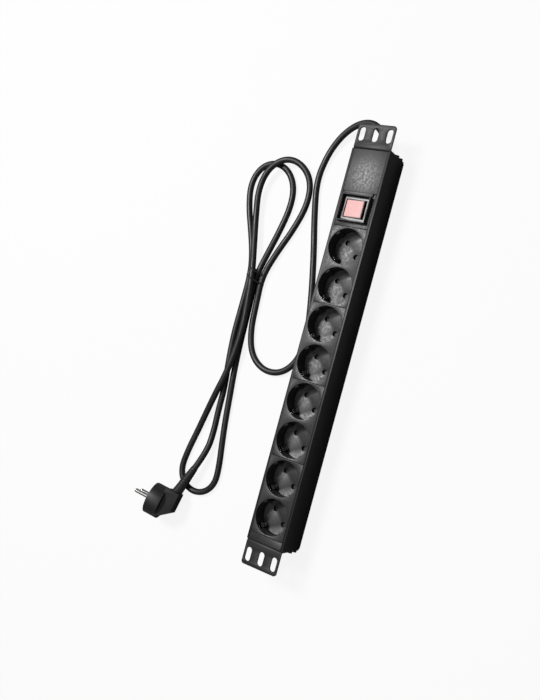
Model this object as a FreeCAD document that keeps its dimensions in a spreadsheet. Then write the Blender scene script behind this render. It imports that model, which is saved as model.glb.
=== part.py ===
import FreeCAD, Part
import Sketcher
import math
import os
import re

# Rack power strip: eight earthed sockets and a lit, guarded switch in an
# aluminium channel with folded rack ears, and a tied mains cord with its plug.
# Frame: +X along the strip to the cord's end, +Y towards the tied cord,
# +Z out of the front face. The flat back lies on z = 0, the origin at its middle.

os.makedirs("parts", exist_ok=True)
doc = FreeCAD.newDocument("RackPowerStrip")
sheet = doc.addObject("Spreadsheet::Sheet", "Sizes")

DRIVING = {
    # channel
    "rail_length": 428, "rail_width": 44.4, "rail_depth": 40,
    "side_wall": 1.6, "back_wall": 1.6, "lip_reach": 0.9, "lip_thick": 1.6,
    "boss_radius": 2.4, "boss_inset": 3.8, "boss_low": 4.8, "boss_high": 15,
    "thread_radius": 1.4, "slip": 0.15,
    # rack ears
    "ear_reach": 27.3, "sheet_thick": 2, "fold_radius": 2.6, "ear_inset": 0.6,
    "ear_drop": 0.4, "ear_corner": 3, "slot_out": 16, "slot_long": 15,
    "slot_wide": 6.8, "slot_pitch": 15.875,
    "screw_head": 3, "head_thick": 2.2, "screw_reach": 9, "drive_wide": 2.6, "drive_deep": 1.2,
    # sockets
    "socket_pitch": 42, "filler_long": 8.5, "module_gap": 0.5, "plate_thick": 1.8,
    "recess_radius": 19.4, "cup_wall": 1, "recess_deep": 17.5, "floor_thick": 3,
    "pin_pitch": 19, "pin_hole": 3, "post_radius": 2, "post_long": 3.4,
    "key_wide": 4.6, "key_reach": 1.4, "clip_slot": 6.4, "clip_slot_deep": 1.6,
    # shutters
    "shutter_thick": 1.5, "shutter_half": 12.8, "shutter_wide": 7.2, "hub_radius": 4.4,
    "shutter_gap": 0.4, "post_fit": 0.06, "spring_radius": 2.9, "spring_wire": 0.25,
    "spring_leg": 3,
    # busbars and earth
    "tray_half": 14.2, "tray_wall": 0.8, "tray_floor": 1.2, "tray_rise": 6.8, "rib_wide": 1.6,
    "bar_thick": 0.5, "leaf_gap": 4.9, "leaf_thick": 0.6, "leaf_wide": 7, "leaf_clear": 2.2,
    "earth_low": 9.2, "earth_thick": 0.6, "earth_half": 1.8,
    "clip_wide": 5, "clip_thick": 0.6, "clip_down": 8, "clip_room": 4, "clip_bow": 2.6,
    "bow_wide": 4.4, "bow_low": 7.6, "bow_face": 1.4,
    # switch
    "switch_long": 37.5, "switch_offset": 19.1, "rocker_long": 22, "rocker_wide": 19.2,
    "lens_long": 20.2, "lens_wide": 17.6, "lens_thick": 1.4, "lens_rise": 0.4,
    "rocker_rise": 2, "rocker_drop": 8.5, "pivot_drop": 4, "pivot_radius": 1.5,
    "rock_angle": 7, "rocker_room": 0.35, "case_wall": 1, "case_deep": 19, "case_drop": 26,
    "bezel_reach": 2.4, "bezel_thick": 1.1, "guard_wall": 0.9, "guard_rise": 6,
    "guard_foot": 0.9, "guard_rib": 3, "guard_rib_rise": 2.2,
    "blade_wide": 6.3, "blade_thick": 0.8, "blade_long": 7, "blade_out": 6, "blade_apart": 8,
    "contact_out": 5, "contact_wide": 4, "contact_thick": 0.8, "pad_out": 6, "pad_radius": 1.6,
    "lamp_radius": 2, "lamp_long": 11, "lamp_rise": 4.6,
    # cord, gland and plug
    "cord_diameter": 7.2, "gland_height": 17, "gland_bore": 6.2, "gland_flange": 8.6,
    "gland_flange_thick": 1.6, "gland_out": 1.6, "gland_in": 8, "nut_radius": 8.6, "nut_thick": 3.4,
    "face_radius": 18.7, "face_deep": 16.5, "block_long": 14.5, "block_half": 13, "block_end_half": 10,
    "block_low": 17, "block_high": 18.4, "block_end_low": 4.3,
    "plug_pin": 2.4, "plug_pin_long": 19, "strap_wide": 4.6, "strap_deep": 0.8,
    "sleeve_start": 3.9, "sleeve_end": 6.4,
    "tie_thick": 0.8, "tie_wide": 4,
    # wiring
    "core_radius": 1.35, "stud_radius": 1.9, "stud_tall": 4.6, "stud_nut": 3.4, "stud_nut_thick": 2.6,
    "block_thick": 12, "block_wide": 27, "block_tall": 10.5, "clamp_pitch": 9, "clamp_height": 4,
    "clamp_screw": 1.9,
}
for row, (alias, size) in enumerate(DRIVING.items(), start=1):
    sheet.set(f"A{row}", alias)
    sheet.set(f"B{row}", str(size))
    sheet.setAlias(f"B{row}", alias)
doc.recompute()

ALIAS = re.compile(r"[A-Za-z_]\w*")
ALONG_X = FreeCAD.Rotation(FreeCAD.Vector(0, 1, 0), 90)
ALONG_Y = FreeCAD.Rotation(FreeCAD.Vector(1, 0, 0), -90)
UPRIGHT = FreeCAD.Rotation()
DIAGONAL = FreeCAD.Rotation(FreeCAD.Vector(0, 0, 1), 45)
TURN = {"x": ALONG_X, "y": ALONG_Y, "z": UPRIGHT}
SOCKETS = range(8)
TWINS = range(4)
NODES = []


def size_of(alias):
    return float(sheet.get(alias))


def formula(text):
    return ALIAS.sub(lambda word: f"Sizes.{word[0]}" if word[0] in DRIVING else word[0], str(text))


def bind(item, **sizes):
    for prop, text in sizes.items():
        item.setExpression(prop.replace("__", "."), formula(text))


def place(item, x, y, z, turn=UPRIGHT):
    item.Placement = FreeCAD.Placement(FreeCAD.Vector(), turn)
    bind(item, Placement__Base__x=x, Placement__Base__y=y, Placement__Base__z=z)
    return item


def box(name, low, size, turn=UPRIGHT):
    item = doc.addObject("Part::Box", name)
    bind(item, Length=size[0], Width=size[1], Height=size[2])
    return place(item, *low, turn)


def middle_box(name, centre, size):
    """A box centred on centre in X and Y, standing on centre's height."""
    low = (f"{centre[0]} - ({size[0]}) / 2", f"{centre[1]} - ({size[1]}) / 2", centre[2])
    return box(name, low, size)


def rod(name, base, radius, length, axis="z", angle=None):
    item = doc.addObject("Part::Cylinder", name)
    bind(item, Radius=radius, Height=length)
    if angle:
        item.Angle = angle
    return place(item, *base, TURN[axis])


def join(name, *items):
    item = doc.addObject("Part::MultiFuse", name)
    item.Shapes = list(items)
    return item


def cut(name, base, *tools):
    item = doc.addObject("Part::Cut", name)
    item.Base = base
    item.Tool = tools[0] if len(tools) == 1 else join(name + "_tools", *tools)
    return item


def group(name, *items):
    item = doc.addObject("Part::Compound", name)
    item.Links = list(items)
    return item


def solid(name, shape, placement=FreeCAD.Placement()):
    item = doc.addObject("Part::Feature", name)
    item.Shape = shape
    item.Placement = placement
    return item


def node(label, item):
    item.Label = label
    NODES.append(item)
    return item


def outline_body(name, plane, corners, length):
    """A padded PartDesign body with each corner of its outline bound to the sheet."""
    body = doc.addObject("PartDesign::Body", name)
    sketch = body.newObject("Sketcher::SketchObject", name + "_outline")
    planes = [f for f in body.Origin.OriginFeatures if f.Role == plane]
    sketch.AttachmentSupport = [(planes[0], "")]
    sketch.MapMode = "FlatFace"
    last = len(corners) - 1
    for n in range(len(corners)):
        start = FreeCAD.Vector(30 * math.cos(n), 30 * math.sin(n), 0)
        end = FreeCAD.Vector(30 * math.cos(n + 1), 30 * math.sin(n + 1), 0)
        sketch.addGeometry(Part.LineSegment(start, end), False)
    for n in range(len(corners)):
        sketch.addConstraint(Sketcher.Constraint("Coincident", n, 2, 0 if n == last else n + 1, 1))
    for n, corner in enumerate(corners):
        for kind, text in zip(("DistanceX", "DistanceY"), corner):
            if text == "0":
                axis = -2 if kind == "DistanceX" else -1
                sketch.addConstraint(Sketcher.Constraint("PointOnObject", n, 1, axis))
                continue
            place_of = sheet_value(text)
            at = sketch.addConstraint(Sketcher.Constraint(kind, -1, 1, n, 1, place_of))
            sketch.setExpression(f"Constraints[{at}]", formula(text))
    pad = body.newObject("PartDesign::Pad", name + "_pad")
    pad.Profile = sketch
    bind(pad, Length=length)
    sketch.Visibility = False
    return body


def sheet_value(text):
    """The number a formula over the sheet's aliases comes to."""
    probe = doc.addObject("Part::Box", "Probe")
    probe.setExpression("Placement.Base.x", formula(text))
    probe.recompute()
    number = probe.Placement.Base.x
    doc.removeObject(probe.Name)
    return number


def tube(points, radius):
    """A round tube along straight runs joined by tangent arcs, and its arc radii."""
    points = [FreeCAD.Vector(*p) for p in points]
    edges, radii, start = [], [], points[0]
    for before, corner, after in zip(points, points[1:], points[2:]):
        back = (before - corner).normalize()
        ahead = (after - corner).normalize()
        half_turn = (math.pi - back.getAngle(ahead)) / 2
        trim = 0.45 * min((before - corner).Length, (after - corner).Length)
        bend = trim / math.tan(half_turn)
        radii.append(bend)
        first, last = corner + back * trim, corner + ahead * trim
        inward = (back + ahead).normalize()
        middle = corner + inward * (bend / math.cos(half_turn) - bend)
        edges += [Part.LineSegment(start, first).toShape(), Part.Arc(first, middle, last).toShape()]
        start = last
    edges.append(Part.LineSegment(start, points[-1]).toShape())
    path = Part.Wire(edges)
    ring = Part.Wire(Part.Circle(points[0], points[1] - points[0], radius).toShape())
    return path.makePipeShell([ring], True, True), path, radii


# ---------------------------------------------------------------- channel
HALF = "rail_width / 2"
INNER = "(rail_width / 2 - side_wall)"
LIP = "(rail_width / 2 - side_wall - lip_reach)"
LIP_LOW = "(rail_depth - lip_thick)"


def channel():
    corners = [(HALF, "0"), (HALF, "rail_depth"), (LIP, "rail_depth"), (LIP, LIP_LOW),
               (INNER, LIP_LOW), (INNER, "back_wall")]
    corners += [(f"-({y})", z) for y, z in reversed(corners)]
    rail = outline_body("rail", "YZ_Plane", corners, "rail_length")
    place(rail, "-rail_length / 2", 0, 0)
    bosses, bores = [], []
    for n, (side, height) in enumerate(BOSSES):
        base = ("-rail_length / 2", f"{side} * (rail_width / 2 - boss_inset)", height)
        bosses.append(rod(f"boss_{n}", base, "boss_radius", "rail_length", "x"))
        bores.append(rod(f"boss_bore_{n}", base, "thread_radius", "rail_length", "x"))
    return cut("channel", join("channel_walls", rail, *bosses), *bores)


BOSSES = [(side, height) for side in (-1, 1) for height in ("boss_low", "boss_high")]
node("housing_profile", channel())


# ---------------------------------------------------------------- rack ears
EAR_TOP = "(rail_depth - ear_drop)"
EAR_WIDE = "(rail_width - 2 * ear_inset)"


def end_bracket(name, with_gland):
    """A folded sheet: a cap on the channel's end and an ear with three slots, at +X."""
    end, tip = "rail_length / 2", "(rail_length / 2 + ear_reach)"
    side = "ear_inset - rail_width / 2"
    cap = box(name + "_cap", (end, side, "ear_drop"),
              ("sheet_thick", EAR_WIDE, f"{EAR_TOP} - ear_drop - fold_radius"))
    fold_at = (f"{end} + fold_radius", side, f"{EAR_TOP} - fold_radius")
    turn = FreeCAD.Rotation(FreeCAD.Vector(1, 0, 0), -90)
    outer = doc.addObject("Part::Cylinder", name + "_fold")
    inner = doc.addObject("Part::Cylinder", name + "_fold_inside")
    for item, radius, angle in ((outer, "fold_radius", 90), (inner, "fold_radius - sheet_thick", 360)):
        bind(item, Radius=radius, Height=EAR_WIDE)
        item.Angle = angle
        place(item, *fold_at, turn.multiply(FreeCAD.Rotation(FreeCAD.Vector(0, 0, 1), 180)))
    fold = cut(name + "_bend", outer, inner)
    flat_low = f"{EAR_TOP} - sheet_thick"
    flat = box(name + "_flat", (f"{end} + fold_radius", side, flat_low),
               (f"{tip} - {end} - fold_radius - ear_corner", EAR_WIDE, "sheet_thick"))
    front = box(name + "_tip", (f"{tip} - ear_corner - 1", f"{side} + ear_corner", flat_low),
                ("ear_corner + 1", f"{EAR_WIDE} - 2 * ear_corner", "sheet_thick"))
    corners = [rod(f"{name}_corner_{n}",
                   (f"{tip} - ear_corner", f"{sign} * (rail_width / 2 - ear_inset - ear_corner)", flat_low),
                   "ear_corner", "sheet_thick") for n, sign in enumerate((-1, 1))]
    holes = []
    for n, row in enumerate((-1, 0, 1)):
        low = f"{flat_low} - 1"
        straight = "slot_long - slot_wide"
        holes.append(middle_box(f"{name}_slot_{n}", (f"{end} + slot_out", f"{row} * slot_pitch", low),
                                (straight, "slot_wide", "sheet_thick + 2")))
        for m, end_of in enumerate((-1, 1)):
            holes.append(rod(f"{name}_slot_end_{n}_{m}",
                             (f"{end} + slot_out + {end_of} * ({straight}) / 2", f"{row} * slot_pitch", low),
                             "slot_wide / 2", "sheet_thick + 2"))
    for n, (row, height) in enumerate(BOSSES):
        holes.append(rod(f"{name}_screw_hole_{n}",
                         (f"{end} - 1", f"{row} * (rail_width / 2 - boss_inset)", height),
                         "thread_radius + 0.3", "sheet_thick + 2", "x"))
    if with_gland:
        holes.append(rod(name + "_gland_hole", (f"{end} - 1", 0, "gland_height"),
                         "gland_bore + 0.1", "sheet_thick + 2", "x"))
    return cut(name, join(name + "_blank", cap, fold, flat, front, *corners), *holes)


def end_screws(name):
    """Four pan-head screws that hold a bracket to the channel's bosses, at +X."""
    screws = []
    for n, (row, height) in enumerate(BOSSES):
        y = f"{row} * (rail_width / 2 - boss_inset)"
        face = "rail_length / 2 + sheet_thick"
        shank = rod(f"{name}_shank_{n}", (f"{face} - screw_reach", y, height),
                    "thread_radius - 0.02", "screw_reach + 0.5", "x")
        head = rod(f"{name}_head_{n}", (face, y, height), "screw_head", "head_thick", "x")
        drive = [box(f"{name}_drive_{n}_{m}",
                     (f"{face} + head_thick - drive_deep", f"{y} - ({wide}) / 2", f"{height} - ({tall}) / 2"),
                     ("drive_deep + 1", wide, tall))
                 for m, (wide, tall) in enumerate((("drive_wide * 1.4", "0.8"), ("0.8", "drive_wide * 1.4")))]
        screws.append(cut(f"{name}_{n}", join(f"{name}_blank_{n}", shank, head), *drive))
    return screws


def far_end(name, *items):
    """The same pieces turned round to the other end."""
    item = group(name, *items)
    item.Placement.Rotation = FreeCAD.Rotation(FreeCAD.Vector(0, 0, 1), 180)
    return item


node("cable_end_bracket", end_bracket("cable_bracket", True))
node("far_end_bracket", far_end("far_bracket", end_bracket("far_bracket_sheet", False)))
node("cable_end_screws", group("cable_screws", *end_screws("cable_screw")))
node("far_end_screws", far_end("far_screws", *end_screws("far_screw")))


# ---------------------------------------------------------------- front mouldings
PLATE_TOP = "(rail_depth - lip_thick - slip)"
PLATE_LOW = "(rail_depth - lip_thick - slip - plate_thick)"
TWIN_LONG = "(2 * socket_pitch)"
FIRST_EDGE = "(filler_long - rail_length / 2)"


def socket_x(n):
    return f"(filler_long - rail_length / 2 + {n + 0.5} * socket_pitch)"


def front_plate(name, low, high):
    """A snap-in front moulding: a strip between the lips on a wider plate under them."""
    length = f"({high}) - ({low}) - module_gap"
    start = f"{low} + module_gap / 2"
    wide = f"2 * ({INNER} - slip)"
    strip = f"2 * ({LIP} - slip)"
    plate = box(name + "_plate", (start, f"-({wide}) / 2", PLATE_LOW), (length, wide, "plate_thick"))
    raised = box(name + "_strip", (start, f"-({strip}) / 2", PLATE_LOW),
                 (length, strip, f"rail_depth - {PLATE_LOW}"))
    return [plate, raised]


SWITCH_START = f"({FIRST_EDGE} + {len(TWINS)} * {TWIN_LONG})"
SWITCH_END = f"({SWITCH_START} + switch_long)"
SWITCH_MIDDLE = f"({SWITCH_START} + switch_offset)"
FLOOR_TOP = "(rail_depth - recess_deep)"
CLIP_TOP = "(rail_depth - clip_down)"
FLOOR_LOW = "(rail_depth - recess_deep - floor_thick)"
DIAG = "(pin_pitch / 2 * cos(45))"


def twin_socket(n):
    """Two round socket wells in one moulding, with pin holes, key ribs and earth slots."""
    name = f"twin_{n + 1}"
    low = f"{FIRST_EDGE} + {n} * {TWIN_LONG}"
    walls = front_plate(name, low, f"{low} + {TWIN_LONG}")
    ribs, holes, posts = [], [], []
    for m in (2 * n, 2 * n + 1):
        x = socket_x(m)
        tag = f"{name}_{m % 2}"
        walls.append(rod(tag + "_cup", (x, 0, FLOOR_LOW), "recess_radius + cup_wall",
                         f"{PLATE_TOP} - {FLOOR_LOW}"))
        holes.append(rod(tag + "_well", (x, 0, FLOOR_TOP), "recess_radius", "recess_deep + 1"))
        for k, sign in enumerate((-1, 1)):
            holes.append(rod(f"{tag}_pin_{k}", (f"{x} + {sign} * {DIAG}", f"{sign} * {DIAG}",
                                                f"{FLOOR_LOW} - 1"), "pin_hole", "floor_thick + 2"))
            slot = doc.addObject("Part::Box", f"{tag}_earth_slot_{k}")
            bind(slot, Length="clip_slot", Width="clip_slot_deep + cup_wall",
                 Height=f"{CLIP_TOP} + clip_room - {FLOOR_LOW} + 1")
            reach = "(recess_radius - clip_slot_deep / 2)"
            turn = FreeCAD.Rotation(FreeCAD.Vector(0, 0, 1), 45 if sign > 0 else 225)
            along = f"{-sign} * {reach} * cos(45) - {sign} * clip_slot / 2 * cos(45)"
            across = f"{sign} * {reach} * cos(45) - {sign} * clip_slot / 2 * cos(45)"
            place(slot, f"{x} + {along}", across, f"{FLOOR_LOW} - 1", turn)
            holes.append(slot)
            rib = doc.addObject("Part::Box", f"{tag}_key_{k}")
            bind(rib, Length="key_wide", Width="key_reach + 0.3", Height="recess_deep - 1.5")
            inner = "(recess_radius - key_reach)"
            turn = FreeCAD.Rotation(FreeCAD.Vector(0, 0, 1), -45 if sign > 0 else 135)
            along = f"{sign} * {inner} * cos(45) - {sign} * key_wide / 2 * cos(45)"
            across = f"{sign} * {inner} * cos(45) + {sign} * key_wide / 2 * cos(45)"
            place(rib, f"{x} + {along}", across, f"{FLOOR_TOP} - 0.2", turn)
            ribs.append(rib)
        posts.append(rod(tag + "_post", (x, 0, f"{FLOOR_LOW} - post_long"), "post_radius",
                         "post_long + 0.5"))
    hollow = cut(name + "_hollow", join(name + "_walls", *walls), *holes)
    return join(name + "_moulding", hollow, *ribs, *posts)


for n in TWINS:
    node(f"twin_socket_{n + 1}", twin_socket(n))
node("end_filler", join("filler", *front_plate("filler", "-rail_length / 2", FIRST_EDGE)))
node("blank_cover", join("blank", *front_plate("blank", SWITCH_END, "rail_length / 2")))


# ---------------------------------------------------------------- shutters
SHUTTER_TOP = f"({FLOOR_LOW} - shutter_gap)"


def shutter(n):
    """A turning bar under the socket floor that covers both pin holes."""
    x = socket_x(n)
    low = f"{SHUTTER_TOP} - shutter_thick"
    bar = doc.addObject("Part::Box", f"shutter_bar_{n}")
    bind(bar, Length="2 * shutter_half", Width="shutter_wide", Height="shutter_thick")
    place(bar, f"{x} - shutter_half * cos(45) + shutter_wide / 2 * cos(45)",
          "-shutter_half * cos(45) - shutter_wide / 2 * cos(45)", low, DIAGONAL)
    hub = rod(f"shutter_hub_{n}", (x, 0, low), "hub_radius", "shutter_thick")
    bore = rod(f"shutter_bore_{n}", (x, 0, f"{low} - 1"), "post_radius + post_fit", "shutter_thick + 2")
    return cut(f"shutter_{n}", join(f"shutter_blank_{n}", bar, hub), bore)


def shutter_spring(n):
    """A coil under the shutter's hub."""
    x = socket_x(n)
    coil = doc.addObject("Part::Torus", f"spring_coil_{n}")
    bind(coil, Radius1="spring_radius", Radius2="spring_wire")
    place(coil, x, 0, f"{SHUTTER_TOP} - shutter_thick - spring_wire - 0.1")
    leg = rod(f"spring_leg_{n}",
              (f"{x} + spring_radius", 0, f"{SHUTTER_TOP} - shutter_thick - spring_wire - 0.1"),
              "spring_wire", "spring_leg", "x")
    return join(f"spring_{n}", coil, leg)


for n in SOCKETS:
    node(f"shutter_{n + 1}", shutter(n))
node("shutter_springs", group("springs", *[shutter_spring(n) for n in SOCKETS]))


# ---------------------------------------------------------------- trays and busbars
TRAY_LOW = "(back_wall + 0.1)"
BAR_LOW = f"({TRAY_LOW} + tray_floor + 0.05)"
LEAF_TOP = f"({SHUTTER_TOP} - shutter_thick - leaf_clear)"


def back_tray(n):
    """An insulating tray behind one pair of sockets, open at both ends."""
    name = f"tray_{n + 1}"
    low = f"{FIRST_EDGE} + {n} * {TWIN_LONG} + module_gap / 2"
    length = f"{TWIN_LONG} - module_gap"
    floor = box(name + "_floor", (low, "-tray_half", TRAY_LOW), (length, "2 * tray_half", "tray_floor"))
    walls = [box(f"{name}_wall_{k}", (low, y, TRAY_LOW), (length, "tray_wall", "tray_rise"))
             for k, y in enumerate(("-tray_half", "tray_half - tray_wall"))]
    rib = box(name + "_rib", (low, "-rib_wide / 2", TRAY_LOW),
              (length, "rib_wide", f"earth_low - 0.1 - {TRAY_LOW}"))
    return join(name, floor, rib, *walls)


def pole_bar(name, sign):
    """A busbar with a pair of spring leaves at each socket's pin."""
    start = f"{socket_x(0)} + {sign} * {DIAG} - leaf_wide / 2"
    y = f"{sign} * {DIAG}"
    half = "(leaf_gap / 2 + leaf_thick)"
    strip = box(name + "_strip", (start, f"{y} - {half}", BAR_LOW),
                (f"{len(SOCKETS) - 1} * socket_pitch + leaf_wide", f"2 * {half}", "bar_thick"))
    leaves = []
    for n in SOCKETS:
        for k, edge in enumerate((f"{y} - {half}", f"{y} + leaf_gap / 2")):
            leaves.append(box(f"{name}_leaf_{n}_{k}",
                              (f"{socket_x(n)} + {sign} * {DIAG} - leaf_wide / 2", edge, BAR_LOW),
                              ("leaf_wide", "leaf_thick", f"{LEAF_TOP} - {BAR_LOW}")))
    return join(name, strip, *leaves)


def earth_clip(n):
    """A bent strap across the earth bar with an upturned contact at each end."""
    x = socket_x(n)
    name = f"clip_{n}"
    reach = "(recess_radius - 0.2)"
    turn = FreeCAD.Rotation(FreeCAD.Vector(0, 0, 1), 135)
    low = "(earth_low + earth_thick)"

    def radial_box(tag, near, wide, length, bottom, height):
        """A box that starts near from the socket's axis, along (-X, +Y)."""
        item = doc.addObject("Part::Box", f"{name}_{tag}")
        bind(item, Length=length, Width=wide, Height=height)
        return place(item, f"{x} - ({near}) * cos(45) + ({wide}) / 2 * cos(45)",
                     f"({near}) * cos(45) + ({wide}) / 2 * cos(45)", bottom, turn)

    def bow(tag, side):
        """The contact: a raised bow on the inner face of an upturned end."""
        item = doc.addObject("Part::Wedge", f"{name}_bow_{tag}")
        bow_base = f"({FLOOR_TOP} + 0.4)"
        bind(item, Xmin="-bow_wide / 2", Xmax="bow_wide / 2", X2min="-bow_wide / 2 + 0.5",
             X2max="bow_wide / 2 - 0.5", Ymin="0", Ymax="clip_bow + 0.1", Zmin="0", Zmax="bow_low",
             Z2min="bow_low / 2 - bow_face", Z2max="bow_low / 2")
        near = f"({reach} - clip_thick + 0.1)"
        inward = FreeCAD.Rotation(FreeCAD.Vector(0, 0, 1), -135 if side > 0 else 45)
        return place(item, f"{x} - {side} * {near} * cos(45)", f"{side} * {near} * cos(45)", bow_base, inward)

    strap = radial_box("strap", f"-{reach}", "clip_wide", f"2 * {reach}", low, "clip_thick")
    pieces = [strap]
    for tag, near, side in (("up", f"{reach} - clip_thick", 1), ("down", f"-{reach}", -1)):
        pieces.append(radial_box(tag, near, "clip_wide", "clip_thick", low, f"{CLIP_TOP} - {low}"))
        pieces.append(bow(tag, side))
    return join(name, *pieces)


def earth_bar():
    start = f"{socket_x(0)} - socket_pitch / 4"
    length = f"{len(SOCKETS) - 1} * socket_pitch + socket_pitch"
    return box("earth_strip", (start, "-earth_half", "earth_low"), (length, "2 * earth_half", "earth_thick"))


for n in TWINS:
    node(f"twin_back_{n + 1}", back_tray(n))
node("live_busbar", pole_bar("live", 1))
node("neutral_busbar", pole_bar("neutral", -1))
node("earth_bar", earth_bar())
node("earth_clips", group("clips", *[earth_clip(n) for n in SOCKETS]))


# ---------------------------------------------------------------- switch
ROCKER_TOP = "(rail_depth + rocker_rise)"
ROCKER_LOW = "(rail_depth - rocker_drop)"
PIVOT = "(rail_depth - pivot_drop)"
CASE_FLOOR = "(rail_depth - case_deep)"
CASE_LOW = "(rail_depth - case_drop)"
CAVITY_WIDE = "(rocker_wide + 2 * rocker_room)"
CAVITY_LONG = f"(rocker_long + 2 * rocker_room + 2 * ({ROCKER_TOP} - {PIVOT}) * sin(rock_angle))"
CASE_WIDE = f"({CAVITY_WIDE} + 2 * case_wall)"
CASE_LONG = f"({CAVITY_LONG} + 2 * case_wall)"
BEZEL_WIDE = f"({CASE_WIDE} + 2 * bezel_reach)"
BEZEL_LONG = f"({CASE_LONG} + 2 * bezel_reach)"
AT_SWITCH = (SWITCH_MIDDLE, "0")


def at_height(height):
    return (*AT_SWITCH, height)


def switch_plate():
    plates = front_plate("switch_plate", SWITCH_START, SWITCH_END)
    window = middle_box("switch_window", at_height(f"{PLATE_LOW} - 1"),
                        (f"{CASE_WIDE} + 0.2", f"{CASE_LONG} + 0.2", "plate_thick + lip_thick + 4"))
    return cut("switch_plate_moulding", join("switch_plate_blank", *plates), window)


def switch_guard():
    """A raised collar round the rocker, with a foot and a cross rib at the cord's end."""
    inner_wide, inner_long = f"({BEZEL_WIDE} + 0.2)", f"({BEZEL_LONG} + 0.2)"
    outer_wide, outer_long = f"({inner_wide} + 2 * guard_wall)", f"({inner_long} + 2 * guard_wall)"
    collar = middle_box("guard_collar", at_height("rail_depth"), (outer_wide, outer_long, "guard_rise"))
    foot = box("guard_foot", (f"{SWITCH_MIDDLE} - {outer_wide} / 2 - guard_foot", f"-{outer_long} / 2",
                              "rail_depth"),
               (f"{outer_wide} + 2 * guard_foot + guard_rib", outer_long, "guard_foot"))
    rib = box("guard_rib", (f"{SWITCH_MIDDLE} + {outer_wide} / 2 + guard_foot", f"-{outer_long} / 2",
                            "rail_depth"), ("guard_rib", outer_long, "guard_rib_rise"))
    opening = middle_box("guard_opening", at_height("rail_depth - 1"),
                         (inner_wide, inner_long, "guard_rise + 2"))
    return cut("guard", join("guard_blank", collar, foot, rib), opening)


def switch_case():
    """The switch body: a box with a flanged mouth and pivot holes for the rocker."""
    case = middle_box("case_block", at_height(CASE_LOW), (CASE_WIDE, CASE_LONG, "case_drop"))
    bezel = middle_box("case_bezel", at_height("rail_depth"), (BEZEL_WIDE, BEZEL_LONG, "bezel_thick"))
    cavity = middle_box("case_cavity", at_height(CASE_FLOOR),
                        (CAVITY_WIDE, CAVITY_LONG, "case_deep + bezel_thick + 1"))
    pivot = rod("case_pivot_holes", (f"{SWITCH_MIDDLE} - {CASE_WIDE} / 2 - 1", "0", PIVOT),
                "pivot_radius + 0.05", f"{CASE_WIDE} + 2", "x")
    return cut("case", join("case_blank", case, bezel), cavity, pivot)


def tilted(name, item):
    """Turned about the rocker's pivot to its switched-on rest."""
    moved = group(name, item)
    angle = size_of("rock_angle")
    centre = FreeCAD.Vector(sheet_value(SWITCH_MIDDLE), 0, sheet_value(PIVOT))
    moved.Placement = FreeCAD.Placement(FreeCAD.Vector(), FreeCAD.Rotation(FreeCAD.Vector(1, 0, 0), -angle),
                                        centre)
    return moved


def rocker():
    body = middle_box("rocker_block", at_height(ROCKER_LOW),
                      ("rocker_wide", "rocker_long", "rocker_rise + rocker_drop"))
    pins = rod("rocker_pins", (f"{SWITCH_MIDDLE} - {CASE_WIDE} / 2 + 0.1", "0", PIVOT),
               "pivot_radius", f"{CASE_WIDE} - 0.2", "x")
    pocket = middle_box("rocker_pocket", at_height(f"{ROCKER_TOP} + lens_rise - lens_thick"),
                        ("lens_wide + 0.1", "lens_long + 0.1", "lens_thick + 1"))
    hollow = middle_box("rocker_hollow", at_height(f"{ROCKER_LOW} - 1"),
                        ("rocker_wide - 4", "rocker_long - 4", "3.5"))
    return tilted("rocker", cut("rocker_level", join("rocker_blank", body, pins), pocket, hollow))


def rocker_lens():
    lens = middle_box("lens_block", at_height(f"{ROCKER_TOP} + lens_rise - lens_thick + 0.02"),
                      ("lens_wide", "lens_long", "lens_thick - 0.02"))
    return tilted("lens", lens)


def switch_contacts():
    """Two fixed contact bars on the case floor, one for each pole."""
    return [join(f"contact_{n}",
                 middle_box(f"contact_bar_{n}",
                            (f"{SWITCH_MIDDLE} + {side} * contact_out", "0", f"{CASE_FLOOR} + 0.05"),
                            ("contact_wide", f"{CAVITY_LONG} - contact_wide", "contact_thick")),
                 rod(f"contact_pad_{n}",
                     (f"{SWITCH_MIDDLE} + {side} * contact_out", "pad_out", f"{CASE_FLOOR} + 0.5"),
                     "pad_radius", "1.2"))
            for n, side in enumerate((-1, 1))]


def switch_blades():
    """Four push-on terminals under the case, two for each pole."""
    return [middle_box(f"blade_{n}_{m}",
                       (f"{SWITCH_MIDDLE} + {x} * blade_out", f"{y} * blade_apart", f"{CASE_LOW} - blade_long"),
                       ("blade_thick", "blade_wide", "blade_long"))
            for n, x in enumerate((-1, 1)) for m, y in enumerate((-1, 1))]


node("switch_plate", switch_plate())
node("switch_guard", switch_guard())
node("switch_case", switch_case())
node("switch_rocker", rocker())
node("rocker_lens", rocker_lens())
node("switch_lamp", rod("lamp", (f"{SWITCH_MIDDLE} - lamp_long / 2", "0",
                                  f"{CASE_FLOOR} + lamp_rise"), "lamp_radius", "lamp_long", "x"))
node("switch_contacts", group("contacts", *switch_contacts()))
node("switch_terminals", group("terminals", *switch_blades()))


# ---------------------------------------------------------------- gland and wiring
END_FACE = "(rail_length / 2 + sheet_thick)"
CORD = "(cord_diameter / 2)"


def gland_body():
    """A flanged bush in the bracket that grips the cord."""
    flange = rod("gland_flange_disc", (END_FACE, 0, "gland_height"), "gland_flange",
                 "gland_flange_thick", "x")
    stem = rod("gland_stem", (f"rail_length / 2 - gland_in", 0, "gland_height"), "gland_bore",
               "gland_in + sheet_thick + gland_flange_thick + gland_out", "x")
    bore = rod("gland_bore_hole", (f"rail_length / 2 - gland_in - 1", 0, "gland_height"),
               f"{CORD} + 0.15", "gland_in + sheet_thick + gland_flange_thick + gland_out + 2", "x")
    return cut("gland", join("gland_blank", flange, stem), bore)


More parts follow.
